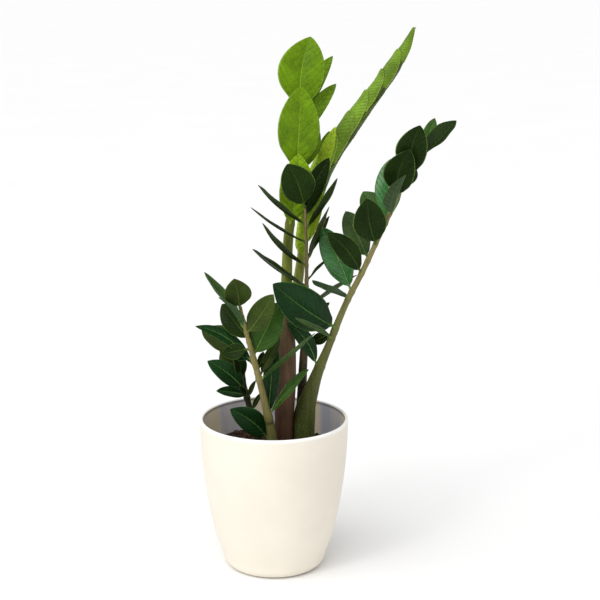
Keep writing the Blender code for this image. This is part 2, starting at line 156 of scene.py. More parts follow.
# Small leaflets beside the CAD ones: stem, height on it, tip from there, width, facing, tone
SMALL_LEAVES = (
    ("stem_middle", 316, (25, 2, 24), 7, (-0.6, -0.3, 0.6), "dark"),
    ("stem_middle", 340, (24, 10, 44), 9, (-0.5, -1.0, 0.2), "dark"),
    ("stem_middle", 269, (25, 10, 19), 9, (-0.3, -1.0, 0.3), "dark"),
    ("stem_right", 381, (-22, 21, 31), 27, (0.2, -1.0, 0.3), "mid"),
    ("stem_right", 419, (18, 26, 16), 13, (0.0, -1.0, 0.3), "dark"),
    ("stem_right", 262, (-24, 11, -14), 13, (0.1, -1.0, 0.3), "dark"),
    ("stem_furled", 415, (19, -20, 62), 15, (-0.2, -1.0, 0.1), "lime"),
    ("stem_furled", 418, (12, 0, 52), 16, (-0.5, -1.0, 0.1), "furled"),
    ("stem_furled", 343, (21, -7, 77), 21, (-0.2, -1.0, 0.1), "lime"),
    ("stem_back", 206, (-24, -15, 33), 18, (0.2, -1.0, 0.3), "olive"),
    ("stem_back", 199, (-7, -19, 38), 15, (0.3, -1.0, 0.2), "dark"),
    ("stem_back", 180, (-7, -22, 19), 7, (0.3, -1.0, 0.4), "dark"),
    ("stem_back", 178, (10, -16, 26), 6, (-0.4, -1.0, 0.3), "olive"),
    ("stem_back", 164, (13, -17, 28), 6, (-0.4, -1.0, 0.3), "dark"),
    ("stem_front", 224, (6, 18, 18), 9, (0.2, -1.0, 0.2), "dark"),
    ("stem_front", 252, (-30, 6, -8), 17, (0.3, -1.0, 0.5), "dark"),
    ("stem_front", 238, (-26, 12, 8), 14, (0.4, -1.0, 0.3), "deep"),
    ("stem_front", 218, (22, 24, 38), 12, (-0.2, -1.0, 0.2), "olive"),
)


# ---------------------------------------------------------------- measuring the frame

def node_points(name):
    """Distinct vertices of a CAD node, in millimetres."""
    points = np.array([v.co for v in frame["nodes"][name].data.vertices]) / MM
    return np.unique(np.round(points, 3), axis=0)


def node_edges(name):
    """Both ends of each edge of a CAD node, in millimetres."""
    mesh = frame["nodes"][name].data
    points = np.array([v.co for v in mesh.vertices]) / MM
    edges = np.array([e.vertices[:] for e in mesh.edges])
    return points[edges[:, 0]], points[edges[:, 1]]


def unit(vectors):
    """Vectors at length one."""
    vectors = np.asarray(vectors, float)
    lengths = np.linalg.norm(vectors, axis=-1, keepdims=True)
    return vectors / np.maximum(lengths, 1e-9)


def spline(values, places):
    """Catmull-Rom curve through evenly spaced values, at places from 0 to 1."""
    values = np.asarray(values, float)
    count = len(values) - 1
    ends = np.concatenate([[2 * values[0] - values[1]], values, [2 * values[-1] - values[-2]]])
    spot = np.clip(np.asarray(places, float), 0.0, 1.0) * count
    first = np.minimum(spot.astype(int), count - 1)
    t = spot - first
    if values.ndim > 1:
        t = t[:, None]
    p0, p1, p2, p3 = (ends[first + k] for k in range(4))
    bend = 2 * p1 + (p2 - p0) * t
    bend += (2 * p0 - 5 * p1 + 4 * p2 - p3) * t ** 2
    bend += (3 * p1 - p0 - 3 * p2 + p3) * t ** 3
    return 0.5 * bend


class Path:
    """Centre line of a stem with its radius, measured from its CAD node by level slices."""

    def __init__(self, name):
        starts, ends = node_edges(name)
        low, high = starts[:, 2].min(), starts[:, 2].max()
        count = max(6, int((high - low) / SLICE_STEP))
        heights = np.linspace(low + SLICE_INSET, high - SLICE_INSET, count)
        cuts = [self.cut(starts, ends, height) for height in heights]
        self.centres = np.array([centre for centre, _ in cuts])
        self.radii = np.array([radius for _, radius in cuts])
        steps = np.linalg.norm(np.diff(self.centres, axis=0), axis=1)
        self.runs = np.concatenate([[0.0], np.cumsum(steps)])
        self.length = self.runs[-1]

    @staticmethod
    def cut(starts, ends, height):
        """Centre and smallest half width of the outline that a level plane cuts."""
        over = (starts[:, 2] - height) * (ends[:, 2] - height) < 0.0
        a, b = starts[over], ends[over]
        share = ((height - a[:, 2]) / (b[:, 2] - a[:, 2]))[:, None]
        outline = (a + (b - a) * share)[:, :2]
        centre = 0.5 * (outline.min(axis=0) + outline.max(axis=0))
        turns = np.radians(np.arange(0, 180, 10))
        reach = (outline - centre) @ np.array([np.cos(turns), np.sin(turns)])
        radius = (0.5 * (reach.max(axis=0) - reach.min(axis=0))).min()
        return (*centre, height), radius

    def at(self, runs):
        """Centres, directions and radii at distances from the lower end, run on past the end."""
        runs = np.asarray(runs, float)
        inside = np.clip(runs, 0.0, self.length)
        centres = np.stack([np.interp(inside, self.runs, self.centres[:, k]) for k in range(3)], axis=-1)
        slopes = unit(np.gradient(self.centres, self.runs, axis=0))
        ahead = unit(np.stack([np.interp(inside, self.runs, slopes[:, k]) for k in range(3)], axis=-1))
        centres = centres + ahead * (runs - inside)[..., None]
        return centres, ahead, np.interp(inside, self.runs, self.radii)

    def gap(self, point):
        """Distance from a point to the path."""
        return np.linalg.norm(self.centres - point, axis=1).min()

    def nearest(self, point):
        """Distance along the path of the place nearest a point."""
        fine = np.linspace(0.0, self.length + PATH_OVERRUN, 600)
        centres, _, _ = self.at(fine)
        return fine[np.argmin(np.linalg.norm(centres - point, axis=1))]


# ---------------------------------------------------------------- meshes

def loft(name, rings, material, attributes=None):
    """Closed skin over rings of points (rings, around, 3) in millimetres, riding on the root."""
    rings = np.asarray(rings, float)
    count, around, _ = rings.shape
    index = np.arange(count * around).reshape(count, around)
    ahead = np.roll(index, -1, axis=1)
    quads = np.stack([index[:-1], ahead[:-1], ahead[1:], index[1:]], axis=-1).reshape(-1, 4)
    faces = [tuple(int(i) for i in quad) for quad in quads]
    faces += [tuple(int(i) for i in index[0][::-1]), tuple(int(i) for i in index[-1])]
    return add_mesh(name, rings.reshape(-1, 3), faces, material, attributes)


def add_mesh(name, points, faces, material, attributes=None):
    """Smooth mesh object from points in millimetres and body."""
    mesh = bpy.data.meshes.new(name)
    mesh.from_pydata((np.asarray(points) * MM).tolist(), [], faces)
    for label, values in (attributes or {}).items():
        layer = mesh.attributes.new(label, "FLOAT", "POINT")
        layer.data.foreach_set("value", np.asarray(values, np.float32).ravel())
    mesh.materials.append(material)
    mesh.shade_smooth()
    mesh.update()
    thing = bpy.data.objects.new(name, mesh)
    bpy.context.scene.collection.objects.link(thing)
    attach(thing, "root")
    return thing


def ring_frames(centres, ahead):
    """Side and front directions along a path that twist as little as they can."""
    side = unit(np.cross(ahead[0], (0.0, 1.0, 0.0)))
    sides = []
    for direction in ahead:
        side = unit(side - direction * np.dot(side, direction))
        sides.append(side)
    sides = np.array(sides)
    return sides, np.cross(ahead, sides)


# ---------------------------------------------------------------- materials

class Nodes:
    """Small builder for a material's node tree."""

    def __init__(self, name):
        self.material = bpy.data.materials.new(name)
        self.material.use_nodes = True
        self.tree = self.material.node_tree
        self.shader = self.tree.nodes["Principled BSDF"]

    def join(self, source, target):
        """Feed a socket, or set it to a plain value."""
        if isinstance(source, bpy.types.NodeSocket):
            self.tree.links.new(source, target)
        elif source is not None:
            target.default_value = source

    def attribute(self, label):
        """A float attribute of the mesh."""
        node = self.tree.nodes.new("ShaderNodeAttribute")
        node.attribute_name = label
        return node.outputs["Fac"]

    def position(self):
        """Object coordinates, in metres."""
        return self.tree.nodes.new("ShaderNodeTexCoord").outputs["Object"]

    def math(self, operation, a, b=None):
        """A sum, product or other function of numbers."""
        node = self.tree.nodes.new("ShaderNodeMath")
        node.operation = operation
        for socket, value in zip(node.inputs, (a, b)):
            self.join(value, socket)
        return node.outputs[0]

    def remap(self, value, low, high, out_low=0.0, out_high=1.0):
        """Smooth step from one range to another."""
        node = self.tree.nodes.new("ShaderNodeMapRange")
        node.interpolation_type = "SMOOTHSTEP"
        for socket, number in zip(node.inputs, (value, low, high, out_low, out_high)):
            self.join(number, socket)
        return node.outputs[0]

    def noise(self, scale, detail=3.0, roughness=0.55, stretch=None):
        """Noise from 0 to 1, at a scale per metre, perhaps stretched along an axis."""
        place = self.position()
        if stretch:
            mapping = self.tree.nodes.new("ShaderNodeMapping")
            mapping.inputs["Scale"].default_value = stretch
            self.join(place, mapping.inputs["Vector"])
            place = mapping.outputs[0]
        node = self.tree.nodes.new("ShaderNodeTexNoise")
        node.inputs["Scale"].default_value = scale
        node.inputs["Detail"].default_value = detail
        node.inputs["Roughness"].default_value = roughness
        self.join(place, node.inputs["Vector"])
        return node.outputs["Fac"]

    def cells(self, scale):
        """Distance pattern of scattered cells."""
        node = self.tree.nodes.new("ShaderNodeTexVoronoi")
        node.inputs["Scale"].default_value = scale
        self.join(self.position(), node.inputs["Vector"])
        return node.outputs["Distance"]

    def mix(self, share, a, b, mode="MIX"):
        """Blend of two colours."""
        node = self.tree.nodes.new("ShaderNodeMix")
        node.data_type = "RGBA"
        node.blend_type = mode
        self.join(share, node.inputs[0])
        for socket, colour in ((node.inputs[6], a), (node.inputs[7], b)):
            if isinstance(colour, bpy.types.NodeSocket):
                self.join(colour, socket)
            else:
                socket.default_value = (*colour, 1.0)
        return node.outputs[2]

    def ramp(self, value, *stops):
        """Colour ramp with stops of (place, colour)."""
        node = self.tree.nodes.new("ShaderNodeValToRGB")
        band = node.color_ramp
        for place, _ in stops[1:-1]:
            band.elements.new(place)
        for number, (_, colour) in enumerate(stops):
            band.elements[number].color = (*colour, 1.0)
        band.elements[0].position = stops[0][0]
        band.elements[len(stops) - 1].position = stops[-1][0]
        self.join(value, node.inputs[0])
        return node.outputs[0]

    def bump(self, height, strength, distance):
        """Bump from a height, with a distance in millimetres."""
        node = self.tree.nodes.new("ShaderNodeBump")
        node.inputs["Strength"].default_value = strength
        node.inputs["Distance"].default_value = distance * MM
        self.join(height, node.inputs["Height"])
        self.join(node.outputs[0], self.shader.inputs["Normal"])

    def finish(self, colour, roughness, specular=0.5):
        """Feed the shader and return the material."""
        if isinstance(colour, bpy.types.NodeSocket):
            self.join(colour, self.shader.inputs["Base Color"])
        else:
            self.shader.inputs["Base Color"].default_value = (*colour, 1.0)
        self.join(roughness, self.shader.inputs["Roughness"])
        self.shader.inputs["Specular IOR Level"].default_value = specular
        return self.material


def shade(colour, factor):
    """Colour made lighter or darker."""
    return tuple(min(1.0, c * factor) for c in colour)


def leaf_material(tone):
    """Waxy leaflet: mottled blade, paler midrib, side veins and margin, duller underside."""
    look = TONES[tone]
    n = Nodes("leaf_" + tone)
    vein_phase = n.math("FRACT", n.attribute("vein"))
    from_line = n.math("ABSOLUTE", n.math("SUBTRACT", vein_phase, 0.5))
    wander = n.noise(90.0, 2.0)
    line = n.remap(n.math("ADD", from_line, n.math("MULTIPLY", wander, 0.03)), 0.03, 0.11, 1.0, 0.0)
    fading = n.remap(n.attribute("along"), 0.15, 1.0, 1.0, 0.12)
    rib = n.math("MULTIPLY", n.remap(n.attribute("rib"), 0.3, 0.95, 1.0, 0.0), fading)
    edge = n.remap(n.attribute("margin"), 0.925, 0.975)
    patches = n.noise(38.0, 4.0, 0.6)
    fine = n.noise(420.0, 3.0, 0.6)
    mottle = n.math("ADD", n.math("MULTIPLY", patches, 0.65), n.math("MULTIPLY", fine, 0.35))
    mottle = n.remap(mottle, 0.32, 0.68)
    blade = n.mix(mottle, shade(look.upper, 0.66), shade(look.upper, 1.32))
    blade = n.mix(n.math("MULTIPLY", line, look.line), blade, look.vein)
    blade = n.mix(n.math("MULTIPLY", rib, look.rib), blade, look.vein)
    back = n.mix(mottle, shade(look.under, 0.75), shade(look.under, 1.2))
    back = n.mix(n.math("MULTIPLY", line, 0.25), back, shade(look.under, 1.6))
    back = n.mix(n.math("MULTIPLY", rib, 0.6), back, shade(look.under, 1.9))
    side = n.attribute("under")
    colour = n.mix(side, blade, back)
    colour = n.mix(n.math("MULTIPLY", edge, 0.75), colour, look.margin)
    colour = n.mix(n.math("MULTIPLY", n.attribute("stalk"), 0.8), colour, look.vein)
    specks = n.remap(n.noise(1300.0, 1.0, 0.4), 0.70, 0.76)
    colour = n.mix(n.math("MULTIPLY", specks, 0.35), colour, look.margin)
    tinted = n.tree.nodes.new("ShaderNodeHueSaturation")
    n.join(n.attribute("light"), tinted.inputs["Value"])
    n.join(colour, tinted.inputs["Color"])
    rough = n.math("ADD", look.gloss, n.math("MULTIPLY", patches, 0.14))
    rough = n.math("ADD", rough, n.math("MULTIPLY", side, 0.2))
    height = n.math("SUBTRACT", n.math("MULTIPLY", fine, 0.3), line)
    height = n.math("SUBTRACT", height, n.math("MULTIPLY", rib, 0.8))
    n.bump(height, look.relief, 0.6)
    return n.finish(tinted.outputs[0], rough, specular=look.shine)


def stem_material(name, stops, speckle, amount):
    """Smooth fleshy stem that changes colour along its length, with lengthwise streaks and specks."""
    n = Nodes(name)
    colour = n.ramp(n.attribute("height"), *stops)
    streaks = n.noise(150.0, 4.0, 0.6, stretch=(1.0, 1.0, 0.08))
    dark = n.mix(1.0, colour, (0.45, 0.42, 0.4), "MULTIPLY")
    colour = n.mix(n.remap(streaks, 0.4, 0.72, 0.0, 0.7), colour, dark)
    specks = n.remap(n.noise(900.0, 1.0, 0.4, stretch=(1.0, 1.0, 0.45)), 0.57, 0.64)
    colour = n.mix(n.math("MULTIPLY", specks, amount), colour, speckle)
    colour = n.mix(n.math("MULTIPLY", n.attribute("ring"), 0.85), colour, (0.02, 0.015, 0.008))
    rough = n.math("ADD", 0.38, n.math("MULTIPLY", streaks, 0.2))
    bumps = n.math("ADD", n.math("MULTIPLY", streaks, 0.6), n.math("MULTIPLY", specks, 0.3))
    n.bump(bumps, 0.5, 0.6)
    return n.finish(colour, rough, specular=0.2)


# Colours of the pot's rim, painted paler as a highlight, of the dark line of painted shade just under the
# lip inside, and of the streaks of painted reflection inside
POT_RIM_HIGHLIGHT_COLOUR = (0.96, 0.95, 0.92)
POT_LIP_SHADE_COLOUR = (0.05, 0.05, 0.06)
POT_INNER_REFLECTION_STOPS = ((0.42, (0.66, 0.66, 0.78)), (0.49, (0.84, 0.8, 0.82)), (0.53, (1.0, 0.88, 0.66)))
# Colours of the potting mix and of the bits of bark in it
SOIL_STOPS = ((0.25, (0.012, 0.008, 0.006)), (0.5, (0.045, 0.026, 0.016)), (0.8, (0.13, 0.075, 0.045)))
BARK_STOPS = ((0.3, (0.09, 0.035, 0.022)), (0.7, (0.33, 0.16, 0.1)))


def pot_material():
    """Cream pot: fine eggshell outside; inside, a glossy grey that is partly painted shade, with streaks of
    painted reflection and a dark line of painted shade under the lip; a rim painted paler as a highlight.
    """
    n = Nodes("pot_glaze")
    inside = n.attribute("inside")
    cream = COLOURS["pot"]
    mottle = n.noise(14.0, 4.0, 0.55)
    grain = n.noise(1500.0, 2.0, 0.5)
    outer = n.mix(n.remap(mottle, 0.35, 0.65), shade(cream, 0.97), shade(cream, 1.01))
    outer = n.mix(n.remap(n.cells(700.0), 0.02, 0.05, 0.18, 0.0), outer, shade(cream, 0.8))
    # The rim's top is painted paler: a painted highlight where it catches the light.
    rim_highlight = n.attribute("rim_highlight")
    outer = n.mix(rim_highlight, outer, POT_RIM_HIGHLIGHT_COLOUR)
    # Bluish grey to tan vertical streaks inside: painted reflections on the glossy wall, over a grey that
    # is partly painted shade.
    streaks = n.noise(26.0, 2.0, 0.5, stretch=(1.0, 1.0, 0.10))
    inner = n.ramp(streaks, *POT_INNER_REFLECTION_STOPS)
    # A dark line just under the lip inside: painted shade.
    inner = n.mix(n.remap(n.attribute("line"), 0.0, 1.0, 0.0, 0.75), inner, POT_LIP_SHADE_COLOUR)
    colour = n.mix(inside, outer, inner)
    rough = n.math("SUBTRACT", 0.45, n.math("MULTIPLY", inside, 0.28))
    rough = n.math("ADD", rough, n.math("MULTIPLY", grain, 0.06))
    n.bump(n.math("ADD", grain, n.math("MULTIPLY", mottle, 3.0)), 0.12, 0.15)
    return n.finish(colour, rough)


def soil_material():
    """Dark potting mix: brown crumbs of several tones, with a little moist sheen."""
    n = Nodes("potting_mix")
    tone = n.noise(260.0, 4.0, 0.7)
    colour = n.ramp(tone, *SOIL_STOPS)
    red = n.attribute("bark")
    bark = n.ramp(n.noise(500.0, 4.0, 0.7), *BARK_STOPS)
    colour = n.mix(red, colour, bark)
    rough = n.remap(n.noise(150.0), 0.3, 0.7, 0.6, 0.95)
    n.bump(n.noise(1100.0, 4.0, 0.7), 0.7, 0.7)
    return n.finish(colour, rough, specular=0.15)


# ---------------------------------------------------------------- pot and soil

POT_SIDES = 144
POT_OUTER_ROWS = 70
POT_INNER_ROWS = 50
LIP_ROWS = 13
SOIL_SIDES = 120
SOIL_RINGS = 30
SOIL_DROP = 2.6
SOIL_GAP = 0.4
CRUMBS = 760
BARK_REACH = 34.0


def pot_sides():
    """Outer and inner side of the CAD pot below its lip, as rows of (radius, height) that rise."""
    points = node_points("pot")
    rings = np.column_stack([np.hypot(points[:, 0], points[:, 1]), points[:, 2]])
    rings = np.unique(np.round(rings, 1), axis=0)
    outer, inner = [], []
    for radius, height in rings[np.argsort(rings[:, 1], kind="stable")]:
        if not outer or radius > outer[-1][0]:
            outer.append((radius, height))
        else:
            inner.append((radius, height))
    lip_height = outer[-1][1]
    return np.array(outer), np.array([p for p in inner if p[1] <= lip_height])


def even_curve(points, count):
    """Points evenly spaced along a smooth curve through profile points."""
    fine = spline(points, np.linspace(0.0, 1.0, 300))
    runs = np.concatenate([[0.0], np.cumsum(np.linalg.norm(np.diff(fine, axis=0), axis=1))])
    wanted = np.linspace(0.0, runs[-1], count)
    return np.stack([np.interp(wanted, runs, fine[:, k]) for k in range(2)], axis=1)


def turned(profile, sides):
    """Rings of points from a profile of (radius, height)."""
    turns = np.arange(sides) / sides * math.tau
    ring = np.stack([np.cos(turns), np.sin(turns)], axis=1)
    return np.array([np.column_stack([ring * r, np.full(sides, z)]) for r, z in profile])


def make_pot():
    """Pot turned from the CAD pot's profile, with a soft round lip."""
    outer, inner = pot_sides()
    lip_radius = 0.5 * (outer[-1][0] - inner[-1][0])
    middle = np.array([outer[-1][0] - lip_radius, outer[-1][1]])
    turns = np.linspace(0.0, math.pi, LIP_ROWS + 2)[1:-1]
    lip = [middle + lip_radius * np.array([math.cos(a), math.sin(a)]) for a in turns]
    outside = [(0.5 * outer[0][0], 0.0), *even_curve(outer, POT_OUTER_ROWS)]
    inside = [*even_curve(inner, POT_INNER_ROWS)[::-1], (0.5 * inner[0][0], inner[0][1])]
    profile = np.array([*outside, *lip, *inside])
    within = np.arange(len(profile)) >= len(outside) + len(lip) - 3
    # Mask of the rim's painted highlight, over the top of the lip.
    rim_highlight = np.clip((profile[:, 1] - middle[1]) / lip_radius + 0.9, 0.0, 1.0)
    # Mask of the dark line of painted shade just under the lip inside.
    line = within * np.exp(-((profile[:, 1] - middle[1] + 0.2) / 0.8) ** 2)
    bands = {"inside": within, "rim_highlight": rim_highlight, "line": line}
    attributes = {label: np.repeat(values, POT_SIDES) for label, values in bands.items()}
    pot = loft("glazed_pot", turned(profile, POT_SIDES), pot_material(), attributes)
    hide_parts("pot")
    return inner


def bed_height(x, y):
    """Unevenness of the potting mix at a place."""
    wave = 0.9 * np.sin(x / 9.0 + 0.6) * np.cos(y / 11.0)
    return wave + 0.5 * np.sin(x / 3.7) * np.sin(y / 4.1 + 1.0) - 0.02 * x


def crumb(rng, centre, size, flat):
    """Points and faces of one rough lump: an octahedron, cut once and knocked about."""
    corners = ((1, 0, 0), (-1, 0, 0), (0, 1, 0), (0, -1, 0), (0, 0, 1), (0, 0, -1))
    points = [np.array(corner, float) for corner in corners]
    faces = [(0, 2, 4), (2, 1, 4), (1, 3, 4), (3, 0, 4), (2, 0, 5), (1, 2, 5), (3, 1, 5), (0, 3, 5)]
    middles, cut = {}, []
    for face in faces:
        halves = []
        for a, b in zip(face, face[1:] + face[:1]):
            key = (min(a, b), max(a, b))
            if key not in middles:
                middles[key] = len(points)
                points.append(unit(points[a] + points[b]))
            halves.append(middles[key])
        ab, bc, ca = halves
        cut += [(face[0], ab, ca), (face[1], bc, ab), (face[2], ca, bc), (ab, bc, ca)]
    shape = np.array(points) * (1.0, rng.uniform(0.5, 0.95), flat)
    shape *= np.array([rng.uniform(0.76, 1.22) for _ in points])[:, None]
    turn, tip = rng.uniform(0.0, math.tau), rng.uniform(-0.6, 0.6)
    spin = np.array(((math.cos(turn), -math.sin(turn), 0), (math.sin(turn), math.cos(turn), 0), (0, 0, 1)))
    tilt = np.array(((1, 0, 0), (0, math.cos(tip), -math.sin(tip)), (0, math.sin(tip), math.cos(tip))))
    return shape @ tilt.T @ spin.T * size + centre, cut


def make_soil(pot_inner):
    """Uneven bed of potting mix with loose crumbs and bits of bark on it."""
    rng = random.Random(11)
    low, high = (np.array(corner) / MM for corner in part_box("soil"))
    level = high[2] - SOIL_DROP

    def wall(z):
        return np.interp(z, pot_inner[:, 1], pot_inner[:, 0]) - SOIL_GAP

    radius = wall(level)
    top = [(radius * i / SOIL_RINGS, level) for i in range(1, SOIL_RINGS + 1)]
    side = [(wall(z), z) for z in np.linspace(level - 3.0, low[2] + 6.0, 12)]
    rings = turned([*top, *side, (40.0, low[2]), (20.0, low[2])], SOIL_SIDES)
    surface = rings[:SOIL_RINGS]
    surface[..., 2] += bed_height(surface[..., 0], surface[..., 1])
    count = len(rings) * SOIL_SIDES
    index = np.arange(count).reshape(len(rings), SOIL_SIDES)
    ahead = np.roll(index, -1, axis=1)
    quads = np.stack([index[:-1], index[1:], ahead[1:], ahead[:-1]], axis=-1).reshape(-1, 4)
    faces = [tuple(int(i) for i in quad) for quad in quads]
    faces += [tuple(int(i) for i in index[0]), tuple(int(i) for i in index[-1][::-1])]
    points, bark = [rings.reshape(-1, 3)], [np.zeros(count)]
    for number in range(CRUMBS):
        reach = (radius - 2.5) * math.sqrt(rng.random())
        turn = rng.uniform(0.0, math.tau)
        x, y = reach * math.cos(turn), reach * math.sin(turn)
        is_bark = rng.random() < (0.4 if reach < BARK_REACH else 0.12)
        size = rng.uniform(1.1, 2.6) if rng.random() < 0.8 else rng.uniform(2.6, 4.2)
        flat = rng.uniform(0.3, 0.5) if is_bark else rng.uniform(0.6, 0.9)
        height = level + bed_height(x, y) + 0.35 * size * flat
        shape, cut = crumb(rng, (x, y, height), size, flat)
        faces += [tuple(i + count for i in face) for face in cut]
        points.append(shape)
        bark.append(np.full(len(shape), float(is_bark) * rng.uniform(0.6, 1.0)))
        count += len(shape)
    soil = add_mesh("potting_mix", np.concatenate(points), faces, soil_material(),
                    {"bark": np.concatenate(bark)})
    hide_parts("soil")


# ---------------------------------------------------------------- stems

def make_stem(name, path, joints, material):
    """Fleshy stem along its CAD path, swollen a little where leaflets join and ringed low down."""
    runs = np.arange(0.0, path.length, STEM_ROW_GAP)
    centres, ahead, radii = path.at(runs)
    side, front = ring_frames(centres, ahead)
    if name in STEM_GIRTH:
        radii = radii * np.interp(centres[:, 2], *STEM_GIRTH[name])
    for joint in joints:
        radii = radii + JOINT_SWELL * np.exp(-((runs - joint) / JOINT_WIDTH) ** 2)
    turns = np.arange(STEM_SIDES) / STEM_SIDES * math.tau
    ridges = 1.0 + 0.014 * np.sin(5.0 * turns + 1.0) + 0.008 * np.sin(9.0 * turns)
    spokes = side[:, None] * np.cos(turns)[:, None] + front[:, None] * np.sin(turns)[:, None]
    rings = centres[:, None] + spokes * (radii[:, None] * ridges)[..., None]
    rings[-1] = centres[-1] + (rings[-1] - centres[-1]) * 0.55
    height = np.repeat(runs / path.length, STEM_SIDES)
    scars = np.zeros(len(runs))
    for scar in STEM_SCARS.get(name, ()):
        scars = np.maximum(scars, np.exp(-((centres[:, 2] - scar) / SCAR_WIDTH) ** 2))
    attributes = {"height": height, "ring": np.repeat(scars, STEM_SIDES)}
    stem = loft("grown_" + name, rings, material, attributes)
    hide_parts(name)


# ---------------------------------------------------------------- open leaflets

def middle_of(points):
    """Mean of some points, or blanks when there are none."""
    return points.mean(axis=0) if len(points) else np.full(3, np.nan)


def bridged(line):
    """Line of points whose blanks, where flat CAD rows were joined up, are filled in straight."""
    known = ~np.isnan(line[:, 0])
    places = np.arange(len(line))
    return np.stack([np.interp(places, places[known], line[known, k]) for k in range(3)], axis=1)


class Blade:
    """A leaflet as rows across it: its left edge, midrib and right edge."""

    def __init__(self, left, middle, right, upward):
        self.left, self.middle, self.right, self.upward = left, middle, right, upward
        self.length = np.linalg.norm(middle[-1] - middle[0])
        self.halves = 0.5 * (np.linalg.norm(left - middle, axis=1) + np.linalg.norm(right - middle, axis=1))

    @classmethod
    def drawn(cls, base, tip, width, facing):
        """Blade from its ends, its width and the way that its upper side looks."""
        t = np.linspace(0.0, 1.0, CAD_ROWS + 1)[:, None]
        along = unit(tip - base)
        across = unit(np.cross(along, facing))
        upward = np.cross(across, along)
        middle = base + (tip - base) * t + upward * 0.04 * np.linalg.norm(tip - base) * np.sin(math.pi * t)
        half = 0.5 * width * leaf_outline(t) / leaf_outline(0.46)
        lift = upward * 0.18 * half
        return cls(middle - across * half + lift, middle, middle + across * half + lift, upward)

    @classmethod
    def measured(cls, name, path):
        """Blade read back from its CAD node; its base is the end nearer its stem."""
        points = node_points(name)
        gaps = np.linalg.norm(points[:, None] - points[None], axis=2)
        start, end = (points[i] for i in np.unravel_index(np.argmax(gaps), gaps.shape))
        if path.gap(start) > path.gap(end):
            start, end = end, start
        along = unit(end - start)
        rows = np.round((points - start) @ along / np.linalg.norm(end - start) * CAD_ROWS).astype(int)
        widest = points[rows == CAD_ROWS // 2]
        spread = widest[:, None] - widest[None]
        i, j = np.unravel_index(np.argmax(np.linalg.norm(spread, axis=2)), spread.shape[:2])
        across = unit(spread[i, j] - along * np.dot(spread[i, j], along))
        upward = np.cross(across, along)
        edges = []
        for row in range(CAD_ROWS + 1):
            members = points[rows == row]
            members = members[np.argsort(members @ across)]
            whole = members if len(members) > 3 else members[:0]
            edges.append([middle_of(whole[:2]), middle_of(whole[2:-2]), middle_of(whole[-2:])])
        left, middle, right = (bridged(line) for line in np.array(edges).transpose(1, 0, 2))
        lift = ((left + right) / 2.0 - middle)[2:-2] @ upward
        if lift.mean() < 0.0:
            left, right, upward = right, left, -upward
        longer, wider = RESIZED.get(name, (1.0, 1.0))
        turn = math.radians(TURNED.get(name, 0.0))
        if abs((upward * math.cos(turn) + np.cross(along, upward) * math.sin(turn))[1]) < abs(upward[1]):
            turn = -turn
        moved = middle[0] + (middle - middle[0]) * longer + np.array(SHIFTED.get(name, (0.0, 0.0, 0.0)))

        def swung(edge):
            offset = (edge - middle) * wider
            return moved + offset * math.cos(turn) + np.cross(along, offset) * math.sin(turn)

        return cls(swung(left), moved, swung(right), upward)

    def half_width(self, t):
        """Half width at shares of the length, following the CAD rows, with a pointed tip."""
        places = np.linspace(0.0, 1.0, CAD_ROWS + 1)
        ratio = self.halves / leaf_outline(places)
        ratio[0], ratio[-1] = ratio[1], ratio[-2]
        return np.maximum(spline(ratio, t) * leaf_outline(t), 0.5 * TIP_WIDTH)


def leaf_outline(t):
    """Pointed oval, zero at both ends."""
    t = np.asarray(t, float)
    return np.maximum(t, 1e-4) ** 0.68 * np.maximum(1.0 - t, 1e-4) ** 0.8


def both_sides(columns):
    """Places across a leaflet, over its upper side and back under, and 1 above or -1 below."""
    upper = np.linspace(-1.0, 1.0, columns)
    u = np.concatenate([upper, np.linspace(1.0, -1.0, columns)[1:-1]])
    return u, np.concatenate([np.ones(columns), -np.ones(columns - 2)])


